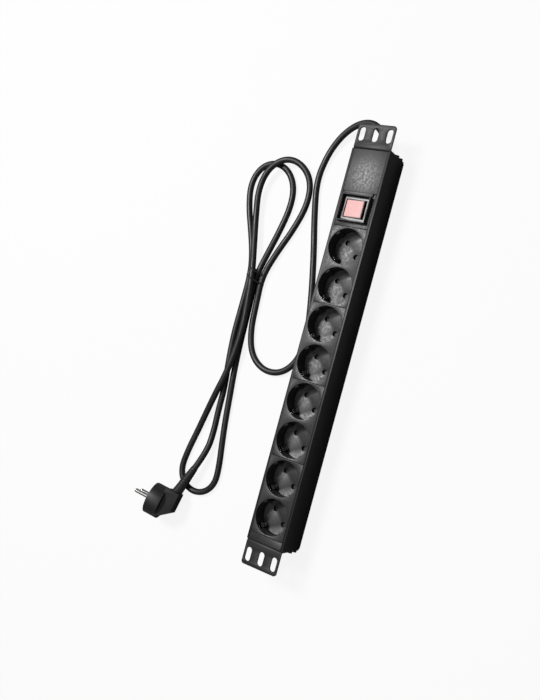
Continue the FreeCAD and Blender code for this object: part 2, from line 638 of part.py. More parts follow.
def gland_nut():
    """The hexagon nut behind the bracket that holds the gland."""
    nut = doc.addObject("Part::Prism", "gland_hexagon")
    nut.Polygon = 6
    bind(nut, Circumradius="nut_radius", Height="nut_thick")
    place(nut, "rail_length / 2 - nut_thick", 0, "gland_height", ALONG_X)
    bore = rod("gland_nut_bore", ("rail_length / 2 - nut_thick - 1", 0, "gland_height"),
               "gland_bore + 0.05", "nut_thick + 2", "x")
    return cut("gland_nut", nut, bore)


BLOCK_X = f"({SWITCH_END} + rail_length / 2) / 2 - 3"


def terminal_block():
    """Three screw clamps in one moulding behind the blank cover."""
    block = middle_box("block_body", (BLOCK_X, "0", TRAY_LOW), ("block_thick", "block_wide", "block_tall"))
    wells = [rod(f"block_well_{n}", (BLOCK_X, f"{n - 1} * clamp_pitch", f"{TRAY_LOW} + clamp_height + 2"),
                 "clamp_screw + 0.3", "block_tall") for n in range(3)]
    tunnels = [rod(f"block_tunnel_{n}",
                   (f"{BLOCK_X} - block_thick", f"{n - 1} * clamp_pitch", f"{TRAY_LOW} + clamp_height"),
                   "core_radius + 0.1", "2 * block_thick", "x") for n in range(3)]
    return cut("block", block, *wells, *tunnels)


def terminal_screws():
    return [rod(f"block_screw_{n}",
                (BLOCK_X, f"{n - 1} * clamp_pitch", f"{TRAY_LOW} + clamp_height + 2.4"),
                "clamp_screw", "3.4") for n in range(3)]


def earth_stud():
    """A welded stud on the channel's back wall, under the switch, with a nut."""
    stud = rod("stud_pin", (*AT_SWITCH, "back_wall"), "stud_radius", "stud_tall")
    nut = doc.addObject("Part::Prism", "stud_hexagon")
    nut.Polygon = 6
    bind(nut, Circumradius="stud_nut", Height="stud_nut_thick")
    place(nut, *AT_SWITCH, "back_wall + stud_nut_thick / 2")
    return join("stud", stud, nut)


def wires(name, routes):
    """Insulated cores along their routes."""
    radius = size_of("core_radius")
    return group(name, *[solid(f"{name}_{n}", tube(route, radius)[0]) for n, route in enumerate(routes)])


def inner_routes():
    """Where the cores run: gland to block, block to switch, switch to busbars, earth."""
    gland_end = size_of("rail_length") / 2 - size_of("gland_in") - 0.5
    height = size_of("gland_height")
    block = sheet_value(BLOCK_X)
    near, far = block + size_of("block_thick") / 2 + 0.05, block - size_of("block_thick") / 2 - 0.05
    clamp = size_of("back_wall") + 0.1 + size_of("clamp_height")
    pitch = size_of("clamp_pitch")
    centre = sheet_value(SWITCH_MIDDLE)
    blade = sheet_value(f"{CASE_LOW} - blade_long") - 1.4
    start = sheet_value(SWITCH_START)
    bars_end = start - 9
    stud_side = size_of("stud_nut") + 0.2
    cores = [[(gland_end, 1.9 * n, height - abs(n)), (gland_end - 4, 4.5 * n + 0.3, height - 3),
              (gland_end - 7, pitch * n, clamp + 2.5), (near, pitch * n, clamp)] for n in (-1, 0, 1)]
    feeds = [[(far, pitch * n, clamp), (far - 8, 9 * n + 0.4, clamp - 0.6),
              (centre + 12, 8 * n, clamp - 1), (centre + 7, 8 * n, blade)] for n in (-1, 1)]
    links = [[(centre - 7, 8 * n, blade), (centre - 12, 8 * n, clamp - 1.5),
              (start + 2, 7 * n, clamp - 1.2), (bars_end, 6.7 * n, clamp - 0.4)] for n in (-1, 1)]
    earth = [[(far, 0, clamp), (far - 8, 0.6, clamp - 0.5), (centre + 10, 0.6, clamp - 1),
              (centre + stud_side, 0, clamp - 1.2)],
             [(centre - stud_side, 0, clamp - 1.2), (centre - 8, 0.4, clamp - 1),
              (start + 6, 0.3, clamp), (start + 1, 0, size_of("earth_low") - 1.5)]]
    return cores, feeds + links, earth


CORES, SWITCH_WIRES, EARTH_WIRE = inner_routes()
node("gland_bush", gland_body())
node("gland_nut", gland_nut())
node("terminal_block", terminal_block())
node("terminal_screws", group("block_screws", *terminal_screws()))
node("earth_stud", earth_stud())
node("cord_cores", wires("cores", CORES))
node("switch_wires", wires("feeds", SWITCH_WIRES))
node("earth_wire", wires("earth_core", EARTH_WIRE))


# ---------------------------------------------------------------- cord, tie and plug
# The route is written for a channel that ends at x = 214, and it moves with
# the channel's end.
WRITTEN_END = 214
END_SHIFT = size_of("rail_length") / 2 - WRITTEN_END
BUSH_MOUTH = WRITTEN_END + size_of("sheet_thick") + size_of("gland_flange_thick") + size_of("gland_out")
WRITTEN_ROUTE = [
    # out of the gland, round behind the ear and back along the strip
    (BUSH_MOUTH, 0, size_of("gland_height")), (232.1, 0.1, 17), (243.55, 6.6, 16.2),
    (250.25, 18.1, 14.8), (250.6, 31.4, 12.8), (244.5, 45.5, 10), (231.5, 59, 7), (211, 69.5, 4.8),
    (182, 74.5, 3.8), (144, 66, 3.8), (98, 53, 3.8), (52, 42, 3.8), (12, 35, 3.8),
    # bend beside the strip, up into the bundle and through the tie
    (-18, 37, 3.8), (-38, 53, 3.8), (-41, 77, 3.8), (-27, 98, 3.8), (0, 107.6, 3.8), (32, 109.6, 3.8),
    (63, 111, 4.75),
    # outer loop, over the inner one at the top, back through the tie on top
    (93, 101, 4), (124, 87, 3.8), (155, 78, 3.8), (182, 81.5, 4.5), (199, 98, 8.5), (201, 118, 12.2),
    (187, 136.5, 12.2), (162, 144, 10), (130, 138.5, 8.6), (97, 129.6, 10), (63, 119.8, 12.8),
    # down to the far end, over the strand beneath, and round the lower turn
    (32, 116.6, 12), (2, 114, 11.8), (-28, 115.4, 11.8), (-56, 119.6, 12), (-80, 126.6, 11),
    (-102, 134.6, 6), (-129, 141.6, 3.8), (-156, 148, 3.8), (-178, 150.6, 3.8), (-192.7, 142.1, 3.8),
    (-199.1, 126.3, 3.8), (-194.4, 110, 3.8), (-180.6, 100, 3.8), (-160, 100.8, 3.8), (-137, 104.6, 3.8),
    # up again, through the tie, the inner loop, and back
    (-111, 108.4, 3.8), (-82, 111.4, 3.8), (-52, 114.6, 3.8), (-22, 116.6, 3.8), (12, 117.4, 3.8),
    (38, 118.4, 4), (63, 119, 4.75), (90, 112.6, 3.8), (119, 104.6, 3.8), (148, 98.8, 3.8),
    (172, 101.4, 3.8), (190, 114.6, 3.8), (197, 134, 3.8), (189, 152.4, 3.8), (168, 160.6, 3.8),
    (140, 154.4, 3.8), (111, 142, 3.8), (86, 132.4, 4.1), (63, 127.2, 4.75),
    # down the middle to the plug's sleeve
    (28, 127.8, 3.8), (-8, 128.4, 3.8), (-42, 125.6, 3.8), (-72, 121.6, 3.8), (-99, 121.6, 3.8),
    (-124, 119.6, 4.6), (-148, 118.6, 9), (-170.5, 127, 12),
]
CORD_ROUTE = [(x + END_SHIFT, y, z) for x, y, z in WRITTEN_ROUTE]
TIE_CENTRES = [(111, 4.75), (127.2, 4.75), (119.8, 12.8)]
TIE_X = 63 + END_SHIFT
PLUG_FACE = FreeCAD.Vector(-218.6 + END_SHIFT, 167.8, 22.9)
PLUG_HEADING, PLUG_TILT, PLUG_ROLL = -10, 16, 11
OUTLET = FreeCAD.Vector(-202.5 + END_SHIFT, 140.6, 13)
OUTLET_OVERRUN = 5
SLEEVE_JOINT = 0.02


def power_cord():
    """The cord as one round tube from the gland to the plug's sleeve."""
    radius = size_of("cord_diameter") / 2
    shape, path, radii = tube(CORD_ROUTE, radius)
    ideal = math.pi * radius ** 2 * path.Length
    print(f"cord length {path.Length:.0f} mm, arc radii {min(radii):.1f} to {max(radii):.1f} mm")
    print(f"cord volume {shape.Volume:.0f} mm3, section times length {ideal:.0f} mm3")
    print("tight arcs:", [(n + 1, round(r, 1)) for n, r in enumerate(radii) if r < 3 * 2 * radius])
    return solid("cord", shape)


def cord_tie():
    """A flat band round the four strands."""
    low = TIE_X - size_of("tie_wide") / 2
    corners = [FreeCAD.Vector(low, y, z) for y, z in TIE_CENTRES]
    core = Part.Face(Part.makePolygon(corners + corners[:1]))
    inner = size_of("cord_diameter") / 2 + 0.15
    along = FreeCAD.Vector(size_of("tie_wide"), 0, 0)
    outside = core.makeOffset2D(inner + size_of("tie_thick")).extrude(along)
    return solid("tie", outside.cut(core.makeOffset2D(inner).extrude(along)))


def plug_turn():
    """From the plug's own frame, with its pins along +Y, to where it lies."""
    turn = FreeCAD.Rotation(FreeCAD.Vector(0, 0, 1), PLUG_HEADING)
    turn = turn.multiply(FreeCAD.Rotation(FreeCAD.Vector(1, 0, 0), PLUG_TILT))
    return FreeCAD.Placement(PLUG_FACE, turn.multiply(FreeCAD.Rotation(FreeCAD.Vector(0, 1, 0), PLUG_ROLL)))


def plug_body():
    """An angled plug: a round face part and a tapered back, wider on the cord's side."""
    radius, deep = size_of("face_radius"), size_of("face_deep")
    disc = Part.makeCylinder(radius, deep, FreeCAD.Vector(), FreeCAD.Vector(0, -1, 0))

    def section(y, low, high, half):
        corners = [FreeCAD.Vector(x, y, z) for x, z in ((low, -half), (high, -half), (high, half), (low, half))]
        return Part.makePolygon(corners + corners[:1])

    high = size_of("block_high")
    block = Part.makeLoft([
        section(2 - deep, -size_of("block_low"), high, size_of("block_half")),
        section(-deep - size_of("block_long"), -size_of("block_end_low"), high, size_of("block_end_half"))],
        True, True)
    shape = disc.fuse(block)
    slot = size_of("strap_wide") / 2 + 0.15
    near = radius - size_of("strap_deep") - 1.2
    for low in (near, -near - 4):
        shape = shape.cut(Part.makeBox(4, deep - 4, 2 * slot, FreeCAD.Vector(low, 4 - deep, -slot)))
    sockets = [Part.makeCylinder(size_of("plug_pin"), 8, FreeCAD.Vector(0, -8, z), FreeCAD.Vector(0, 1, 0))
               for z in PIN_PLACES]
    return shape.cut(Part.makeCompound(sockets)).removeSplitter()


def plug_pins():
    """Two round pins with domed tips."""
    radius, length = size_of("plug_pin"), size_of("plug_pin_long")
    pins = []
    for z in PIN_PLACES:
        shank = Part.makeCylinder(radius, length + 8 - radius, FreeCAD.Vector(0, -8, z),
                                  FreeCAD.Vector(0, 1, 0))
        tip = Part.makeSphere(radius, FreeCAD.Vector(0, length - radius, z))
        pins.append(shank.fuse(tip).removeSplitter())
    return Part.makeCompound(pins)


def plug_straps():
    """The two earth contact straps let into the face part's rim."""
    wide, deep = size_of("strap_wide"), size_of("face_deep")
    near = size_of("face_radius") - size_of("strap_deep") - 1.2
    thick = size_of("strap_deep")
    return Part.makeCompound([
        Part.makeBox(thick, deep - 4.2, wide, FreeCAD.Vector(low, 4.1 - deep, -wide / 2))
        for low in (near, -near - thick)])


PIN_PLACES = [side * size_of("pin_pitch") / 2 for side in (-1, 1)]


def plug_sleeve():
    """A tapered sleeve from the cord's end to the flat side of the plug's back, as it lies."""
    start = FreeCAD.Vector(*CORD_ROUTE[-1])
    aim = OUTLET - start
    cone = Part.makeCone(size_of("sleeve_start"), size_of("sleeve_end"), aim.Length + OUTLET_OVERRUN,
                         start, aim)
    reach = 4 * size_of("face_radius")
    beside = Part.makeBox(reach, reach, reach, FreeCAD.Vector(
        size_of("block_high") + SLEEVE_JOINT - reach, -reach, -reach / 2))
    beside.Placement = plug_turn()
    return cone.cut(beside)


node("power_cord", power_cord())
node("cord_tie", cord_tie())
node("plug_body", solid("plug", plug_body(), plug_turn()))
node("plug_pins", solid("pins", plug_pins(), plug_turn()))
node("plug_earth_straps", solid("straps", plug_straps(), plug_turn()))
node("plug_sleeve", solid("sleeve", plug_sleeve()))


# ---------------------------------------------------------------- checks and export
doc.recompute()
for item in doc.Objects:
    if "Invalid" in item.State or "Error" in item.State:
        raise RuntimeError(f"{item.Label} failed: {item.State}")
for item in NODES:
    if item.Shape.isNull() or not item.Shape.isValid() or not item.Shape.Solids:
        raise RuntimeError(f"{item.Label} has no sound solid")
for item in NODES:
    item.Shape.exportStep(f"parts/{item.Label}.step")
print(f"{len(NODES)} sub-parts written")
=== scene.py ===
import bpy
import bmesh
import math
from mathutils import Matrix, Vector


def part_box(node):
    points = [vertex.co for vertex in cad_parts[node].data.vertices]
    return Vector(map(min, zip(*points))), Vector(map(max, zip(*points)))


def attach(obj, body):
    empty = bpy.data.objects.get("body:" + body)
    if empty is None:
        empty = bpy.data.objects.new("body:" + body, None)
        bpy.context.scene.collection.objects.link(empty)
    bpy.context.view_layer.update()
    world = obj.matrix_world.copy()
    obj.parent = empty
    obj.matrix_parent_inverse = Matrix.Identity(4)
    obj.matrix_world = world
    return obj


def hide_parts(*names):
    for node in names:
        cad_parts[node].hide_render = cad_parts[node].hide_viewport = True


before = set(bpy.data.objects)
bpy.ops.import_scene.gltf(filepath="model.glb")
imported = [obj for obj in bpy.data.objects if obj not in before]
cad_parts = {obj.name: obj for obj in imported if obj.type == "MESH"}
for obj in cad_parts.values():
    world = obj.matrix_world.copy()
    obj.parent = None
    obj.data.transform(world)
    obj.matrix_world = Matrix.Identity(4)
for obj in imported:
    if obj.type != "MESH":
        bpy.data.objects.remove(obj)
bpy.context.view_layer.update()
scene = bpy.context.scene
MM = 0.001


# ---- Camera
# The strip is seen from above its far end, over its right-hand side, with a
# lens a little longer than the frame's height.
CAMERA_AT = Vector((-9.2, -380.8, 791.4)) * MM
LOOK = Vector((-0.0075, 0.5016, -0.8651))
UP = Vector((0.9653, 0.2295, 0.1247))
FRAME_HEIGHT = 700
FOCAL_OVER_HEIGHT = 804 / FRAME_HEIGHT

lens = bpy.data.cameras.new("camera")
lens.sensor_fit = "AUTO"
lens.sensor_width = 36
lens.lens = FOCAL_OVER_HEIGHT * lens.sensor_width
camera = bpy.data.objects.new("camera", lens)
scene.collection.objects.link(camera)
right = LOOK.cross(UP).normalized()
up = right.cross(LOOK).normalized()
camera.matrix_world = Matrix.Translation(CAMERA_AT) @ Matrix((right, up, -LOOK)).transposed().to_4x4()
scene.camera = camera


# ---- Mains cord
# A round black PVC cord, 7.2 mm thick and 1.9 m long. It leaves the bush at
# the end of the strip, runs back beside it, and is folded into a tied hank.
CORD_DIAMETER = 7.2 * MM
CORD_START_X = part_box("gland_bush")[1][0] / MM
CORD_ROUTE = [
    # out of the gland, round behind the ear and back along the strip
    (CORD_START_X, 0, 17), (232.1, 0.1, 17), (243.55, 6.6, 16.2),
    (250.25, 18.1, 14.8), (250.6, 31.4, 12.8), (244.5, 45.5, 10), (231.5, 59, 7), (211, 69.5, 4.8),
    (182, 74.5, 3.8), (144, 66, 3.8), (98, 53, 3.8), (52, 42, 3.8), (12, 35, 3.8),
    # bend beside the strip, up into the bundle and through the tie
    (-18, 37, 3.8), (-38, 53, 3.8), (-41, 77, 3.8), (-27, 98, 3.8), (0, 107.6, 3.8), (32, 109.6, 3.8),
    (63, 111, 4.75),
    # outer loop, over the inner one at the top, back through the tie on top
    (93, 101, 4), (124, 87, 3.8), (155, 78, 3.8), (182, 81.5, 4.5), (199, 98, 8.5), (201, 118, 12.2),
    (187, 136.5, 12.2), (162, 144, 10), (130, 138.5, 8.6), (97, 129.6, 10), (63, 119.8, 12.8),
    # down to the far end, over the strand beneath, and round the lower turn
    (32, 116.6, 12), (2, 114, 11.8), (-28, 115.4, 11.8), (-56, 119.6, 12), (-80, 126.6, 11),
    (-102, 134.6, 6), (-129, 141.6, 3.8), (-156, 148, 3.8), (-178, 150.6, 3.8), (-192.7, 142.1, 3.8),
    (-199.1, 126.3, 3.8), (-194.4, 110, 3.8), (-180.6, 100, 3.8), (-160, 100.8, 3.8), (-137, 104.6, 3.8),
    # up again, through the tie, the inner loop, and back
    (-111, 108.4, 3.8), (-82, 111.4, 3.8), (-52, 114.6, 3.8), (-22, 116.6, 3.8), (12, 117.4, 3.8),
    (38, 118.4, 4), (63, 119, 4.75), (90, 112.6, 3.8), (119, 104.6, 3.8), (148, 98.8, 3.8),
    (172, 101.4, 3.8), (190, 114.6, 3.8), (197, 134, 3.8), (189, 152.4, 3.8), (168, 160.6, 3.8),
    (140, 154.4, 3.8), (111, 142, 3.8), (86, 132.4, 4.1), (63, 127.2, 4.75),
    # down the middle to the plug's sleeve
    (28, 127.8, 3.8), (-8, 128.4, 3.8), (-42, 125.6, 3.8), (-72, 121.6, 3.8), (-99, 121.6, 3.8),
    (-124, 119.6, 4.6), (-148, 118.6, 9), (-170.5, 127, 12),
]


def cord_curve(name, route, diameter):
    """A smooth round cord on a NURBS line through the points of its route."""
    curve = bpy.data.curves.new(name, "CURVE")
    curve.dimensions = "3D"
    line = curve.splines.new("NURBS")
    line.points.add(len(route) - 1)
    for point, place in zip(line.points, route):
        point.co = (*(Vector(place) * MM), 1)
        point.radius = diameter / 2
    line.order_u = 3
    line.use_endpoint_u = True
    line.resolution_u = 10
    curve.bevel_depth = 1  # each point's radius is in metres
    curve.bevel_resolution = 7
    curve.use_fill_caps = True
    item = bpy.data.objects.new(name, curve)
    scene.collection.objects.link(item)
    return item


cord = cord_curve("mains_cord", CORD_ROUTE, CORD_DIAMETER)
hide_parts("power_cord")
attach(cord, "strip")


class Value:
    """A shader socket that takes Python arithmetic."""

    def __init__(self, finish, socket):
        self.finish, self.socket = finish, socket

    def math(self, operation, *others):
        return self.finish.add("Math", {"operation": operation}, self, *others)

    def __add__(self, other):
        return self.math("ADD", other)

    def __sub__(self, other):
        return self.math("SUBTRACT", other)

    def __mul__(self, other):
        return self.math("MULTIPLY", other)

    def above(self, edge):
        return self.math("GREATER_THAN", edge)


class Finish:
    """A surface finish, whose nodes are added one call at a time."""

    def __init__(self, name, **sockets):
        self.material = bpy.data.materials.new(name)
        self.material.use_nodes = True
        self.tree = self.material.node_tree
        self.tree.nodes.clear()
        self.output = self.tree.nodes.new("ShaderNodeOutputMaterial")
        self.shader = self.tree.nodes.new("ShaderNodeBsdfPrincipled")
        self.tree.links.new(self.shader.outputs[0], self.output.inputs["Surface"])
        self.set(**sockets)

    def fill(self, socket, item):
        if isinstance(item, Value):
            self.tree.links.new(item.socket, socket)
        elif isinstance(item, (tuple, list)) and len(item) == 3 and socket.type == "RGBA":
            socket.default_value = (*item, 1)
        else:
            socket.default_value = item

    def set(self, **sockets):
        """Sets or links the shader's sockets, their names written with underscores."""
        for name, item in sockets.items():
            self.fill(self.shader.inputs[name.replace("_", " ")], item)
        return self

    def add(self, kind, settings=None, *inputs, output=0, **named):
        """One node: its settings first, then its sockets in order or by name."""
        node = self.tree.nodes.new("ShaderNode" + kind)
        for key, item in (settings or {}).items():
            if key == "stops":
                for stop, (at, colour) in zip(self.stops(node, len(item)), item):
                    stop.position, stop.color = at, (*colour, 1)
            else:
                setattr(node, key, item)
        for socket, item in zip(node.inputs, inputs):
            self.fill(socket, item)
        for name, item in named.items():
            self.fill(node.inputs[name.replace("_", " ")], item)
        return Value(self, node.outputs[output])

    @staticmethod
    def stops(node, count):
        elements = node.color_ramp.elements
        while len(elements) < count:
            elements.new(1)
        return elements

    def place(self):
        """Object coordinates, in metres."""
        return self.add("TexCoord", None, output="Object")

    def axes(self):
        split = self.tree.nodes.new("ShaderNodeSeparateXYZ")
        self.fill(split.inputs[0], self.place())
        return [Value(self, split.outputs[n]) for n in range(3)]

    def stretched(self, x, y, z):
        """Object coordinates scaled along each axis."""
        return self.add("Mapping", {"vector_type": "POINT"}, self.place(), Scale=(x, y, z))

    def noise(self, where, scale, detail=3.0, rough=0.55):
        return self.add("TexNoise", {"noise_dimensions": "3D"}, Vector=where, Scale=scale,
                        Detail=detail, Roughness=rough)

    def blend(self, factor, low, high):
        """A colour between low and high."""
        node = self.tree.nodes.new("ShaderNodeMix")
        node.data_type = "RGBA"
        self.fill(node.inputs[0], factor)
        self.fill(node.inputs[6], low)
        self.fill(node.inputs[7], high)
        return Value(self, node.outputs[2])

    def spread(self, value, low, high, to_low, to_high):
        """Value mapped from one range to another, and held at its ends."""
        return self.add("MapRange", {"clamp": True}, value, low, high, to_low, to_high)

    def bump(self, height, strength, distance, under=None):
        named = {"Strength": strength, "Distance": distance, "Height": height}
        if under is not None:
            named["Normal"] = under
        return self.add("Bump", None, **named)


def dress(item, finish):
    """Gives one finish to a piece."""
    item.data.materials.clear()
    item.data.materials.append(finish.material)


PVC = Finish("cord_pvc", Specular_IOR_Level=0.5)
cloud = PVC.noise(PVC.place(), 60)
fine = PVC.noise(PVC.place(), 1800, 2)
PVC.set(Base_Color=PVC.blend(cloud, (0.012, 0.012, 0.013), (0.022, 0.022, 0.023)),
        Roughness=PVC.spread(cloud, 0.35, 0.65, 0.36, 0.5),
        Normal=PVC.bump(fine, 0.25, 0.00005))
dress(cord, PVC)


# ---- Rounded copies
# Moulded and folded pieces have small rounded edges. Each is a merged copy of
# its solid with a narrow bevel, and it stands for that solid.
def softened(name, node, body, width, segments=2, angle=30, merge=True):
    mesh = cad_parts[node].data.copy()
    mesh.name = name
    item = bpy.data.objects.new(name, mesh)
    scene.collection.objects.link(item)
    work = bmesh.new()
    work.from_mesh(mesh)
    bmesh.ops.remove_doubles(work, verts=work.verts, dist=1e-6)
    if merge:
        bmesh.ops.dissolve_limit(work, angle_limit=math.radians(0.5), verts=work.verts, edges=work.edges)
    work.to_mesh(mesh)
    work.free()
    edge = item.modifiers.new("edges", "BEVEL")
    edge.width = width
    edge.segments = segments
    edge.limit_method = "ANGLE"
    edge.angle_limit = math.radians(angle)
    edge.harden_normals = merge
    mesh.shade_smooth()
    shown = bpy.data.meshes.new_from_object(item.evaluated_get(bpy.context.evaluated_depsgraph_get()))
    item.modifiers.clear()
    item.data = shown
    shown.name = name
    shown.set_sharp_from_angle(angle=math.radians(35))
    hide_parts(node)
    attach(item, body)
    return item


# ---- Channel
# A black anodised aluminium extrusion, drawn and then anodised, so faint
# lines run along it.
ANODISED = Finish("anodised_aluminium", Metallic=0.2)
streak = ANODISED.noise(ANODISED.stretched(4, 900, 900), 1, 4)
ANODISED.set(Base_Color=ANODISED.blend(streak, (0.006, 0.0065, 0.0065), (0.012, 0.0125, 0.0125)),
             Roughness=ANODISED.spread(streak, 0.3, 0.7, 0.36, 0.50),
             Normal=ANODISED.bump(streak, 0.12, 0.00004))
channel = softened("channel", "housing_profile", "strip", 0.25 * MM)
dress(channel, ANODISED)


# ---- Rack ears and their screws
# Folded steel sheet, powder coated black, held on by black pan-head screws.
POWDER = Finish("powder_coat", Roughness=0.5)
peel = POWDER.noise(POWDER.place(), 1400, 2)
POWDER.set(Base_Color=POWDER.blend(POWDER.noise(POWDER.place(), 25), (0.016, 0.016, 0.017),
                                   (0.026, 0.026, 0.027)),
           Normal=POWDER.bump(peel, 0.3, 0.00008))
BLACKENED = Finish("blackened_steel", Metallic=0.8, Roughness=0.38)
BLACKENED.set(Base_Color=BLACKENED.blend(BLACKENED.noise(BLACKENED.place(), 300), (0.02, 0.02, 0.022),
                                         (0.05, 0.05, 0.052)))
for side in ("cable_end", "far_end"):
    dress(softened(f"{side}_ear", f"{side}_bracket", "strip", 0.3 * MM), POWDER)
    dress(softened(f"{side}_screw_set", f"{side}_screws", "strip", 0.35 * MM, 3), BLACKENED)


# ---- Front mouldings
# Black polyamide with a fine eroded grain. The wells' floors are a little
# rougher and greyer than the face, but one finish covers both here.
POLYAMIDE = Finish("grained_polyamide", Specular_IOR_Level=0.6)
grain = POLYAMIDE.noise(POLYAMIDE.place(), 1500, 3)
mottle = POLYAMIDE.noise(POLYAMIDE.place(), 130, 4)
speck = POLYAMIDE.noise(POLYAMIDE.place(), 420, 2)
POLYAMIDE.set(Base_Color=POLYAMIDE.blend(mottle, (0.018, 0.018, 0.018), (0.034, 0.034, 0.034)),
              Roughness=POLYAMIDE.spread(speck, 0.35, 0.65, 0.36, 0.5),
              Normal=POLYAMIDE.bump(grain, 0.35, 0.0001, POLYAMIDE.bump(speck, 0.1, 0.0002)))
first_twin = softened("twin_well_1", "twin_socket_1", "strip", 0.2 * MM, merge=False)
dress(first_twin, POLYAMIDE)
for n in range(2, 5):
    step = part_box(f"twin_socket_{n}")[0][0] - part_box("twin_socket_1")[0][0]
    mesh = first_twin.data.copy()
    mesh.transform(Matrix.Translation((step, 0, 0)))
    twin = bpy.data.objects.new(f"twin_well_{n}", mesh)
    scene.collection.objects.link(twin)
    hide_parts(f"twin_socket_{n}")
    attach(twin, "strip")
for node in ("end_filler", "blank_cover", "switch_plate"):
    dress(softened(f"{node}_moulding", node, "strip", 0.35 * MM), POLYAMIDE)


# ---- Inner pieces
# Shutters, their springs, trays, busbars, wiring and the nuts: each CAD solid
# keeps its shape and takes its own finish.
def plain(name, colour, other, roughness, metallic=0.0, scale=200):
    finish = Finish(name, Roughness=roughness, Metallic=metallic)
    patch = finish.noise(finish.place(), scale)
    finish.set(Base_Color=finish.blend(patch, colour, other),
               Normal=finish.bump(finish.noise(finish.place(), 6 * scale, 2), 0.15, 0.00005))
    return finish


BLACK_PLASTIC = plain("black_plastic", (0.012, 0.012, 0.012), (0.02, 0.02, 0.02), 0.5)
TRAY = plain("tray_plastic", (0.05, 0.05, 0.05), (0.07, 0.07, 0.07), 0.55)
BRASS = plain("brass_strip", (0.62, 0.43, 0.16), (0.74, 0.55, 0.24), 0.3, 1.0)
NICKEL = plain("nickel_plate", (0.72, 0.72, 0.70), (0.85, 0.85, 0.83), 0.2, 1.0, 500)
ZINC = plain("zinc_plate", (0.55, 0.56, 0.57), (0.68, 0.68, 0.69), 0.32, 1.0)
NATURAL = plain("natural_polyamide", (0.62, 0.62, 0.58), (0.7, 0.7, 0.66), 0.45)
BROWN_CORE = plain("brown_core", (0.10, 0.045, 0.02), (0.13, 0.06, 0.03), 0.4)
BLUE_CORE = plain("blue_core", (0.03, 0.08, 0.30), (0.05, 0.11, 0.36), 0.4)
GREEN_CORE = plain("green_yellow_core", (0.10, 0.30, 0.04), (0.60, 0.52, 0.04), 0.4, 0.0, 120)
INNER = {
    BLACK_PLASTIC: [f"shutter_{n}" for n in range(1, 9)] + ["gland_nut"],
    TRAY: [f"twin_back_{n}" for n in range(1, 5)],
    BRASS: ["live_busbar", "neutral_busbar", "earth_bar", "switch_contacts"],
    NICKEL: ["earth_clips", "plug_pins", "plug_earth_straps", "switch_terminals"],
    ZINC: ["shutter_springs", "terminal_screws", "earth_stud"],
    NATURAL: ["terminal_block"],
    BROWN_CORE: ["cord_cores"],
    BLUE_CORE: ["switch_wires"],
    GREEN_CORE: ["earth_wire"],
}
for finish, nodes in INNER.items():
    for node in nodes:
        dress(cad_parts[node], finish)


# ---- Switch
# A lit rocker in a snap-in body, inside a raised collar that keeps it from
# being knocked.
COLLAR = plain("collar_plastic", (0.016, 0.016, 0.017), (0.026, 0.026, 0.027), 0.42)
CASE = plain("switch_plastic", (0.010, 0.010, 0.010), (0.016, 0.016, 0.016), 0.3)
FRAME = plain("rocker_plastic", (0.06, 0.022, 0.018), (0.09, 0.03, 0.026), 0.4)
dress(softened("collar", "switch_guard", "strip", 0.3 * MM), COLLAR)
dress(softened("switch_body", "switch_case", "strip", 0.25 * MM), CASE)
dress(softened("rocker_frame", "switch_rocker", "rocker", 0.35 * MM), FRAME)
LENS = Finish("lit_lens", Roughness=0.5, Specular_IOR_Level=0.25, Emission_Strength=0.5)
lens_cloud = LENS.noise(LENS.place(), 260, 3)
LENS.set(Base_Color=LENS.blend(lens_cloud, (0.42, 0.2, 0.2), (0.52, 0.3, 0.29)),
         Emission_Color=LENS.blend(lens_cloud, (1.0, 0.55, 0.53), (1.0, 0.68, 0.66)))
dress(softened("lit_lens", "rocker_lens", "rocker", 0.5 * MM, 3), LENS)
NEON = Finish("neon_glass", Roughness=0.1)
NEON.set(Base_Color=(0.8, 0.3, 0.2), Emission_Color=(1.0, 0.35, 0.15), Emission_Strength=0.6)
dress(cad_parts["switch_lamp"], NEON)


# ---- Repeated pieces
# A row tree sets one piece down again and again along a line, each copy a
# little larger than the last.
def row_tree():
    """Named inputs: Piece, Count, Step, Growth and Finish."""
    tree = bpy.data.node_groups.new("row", "GeometryNodeTree")
    sockets = {}
    for name, kind in (("Geometry", "Geometry"), ("Piece", "Object"), ("Count", "Int"), ("Step", "Vector"),
                       ("Growth", "Float"), ("Finish", "Material")):
        sockets[name] = tree.interface.new_socket(name, in_out="INPUT", socket_type=f"NodeSocket{kind}")
    tree.interface.new_socket("Geometry", in_out="OUTPUT", socket_type="NodeSocketGeometry")
    kinds = {"start": "NodeGroupInput", "line": "GeometryNodeMeshLine", "piece": "GeometryNodeObjectInfo",
             "place": "GeometryNodeInstanceOnPoints", "index": "GeometryNodeInputIndex",
             "grow": "ShaderNodeMath", "size": "ShaderNodeMath", "real": "GeometryNodeRealizeInstances",
             "dress": "GeometryNodeSetMaterial", "end": "NodeGroupOutput"}
    node = {name: tree.nodes.new(kind) for name, kind in kinds.items()}
    node["grow"].operation = "MULTIPLY"
    node["size"].operation = "ADD"
    node["size"].inputs[1].default_value = 1
    link = tree.links.new
    link(node["start"].outputs["Count"], node["line"].inputs["Count"])
    link(node["start"].outputs["Step"], node["line"].inputs["Offset"])
    link(node["start"].outputs["Piece"], node["piece"].inputs["Object"])
    link(node["index"].outputs[0], node["grow"].inputs[0])
    link(node["start"].outputs["Growth"], node["grow"].inputs[1])
    link(node["grow"].outputs[0], node["size"].inputs[0])
    link(node["line"].outputs[0], node["place"].inputs["Points"])
    link(node["piece"].outputs["Geometry"], node["place"].inputs["Instance"])
    link(node["size"].outputs[0], node["place"].inputs["Scale"])
    link(node["place"].outputs[0], node["real"].inputs[0])
    link(node["real"].outputs[0], node["dress"].inputs["Geometry"])
    link(node["start"].outputs["Finish"], node["dress"].inputs["Material"])
    link(node["dress"].outputs[0], node["end"].inputs[0])
    return tree, sockets


ROW, ROW_SOCKETS = row_tree()


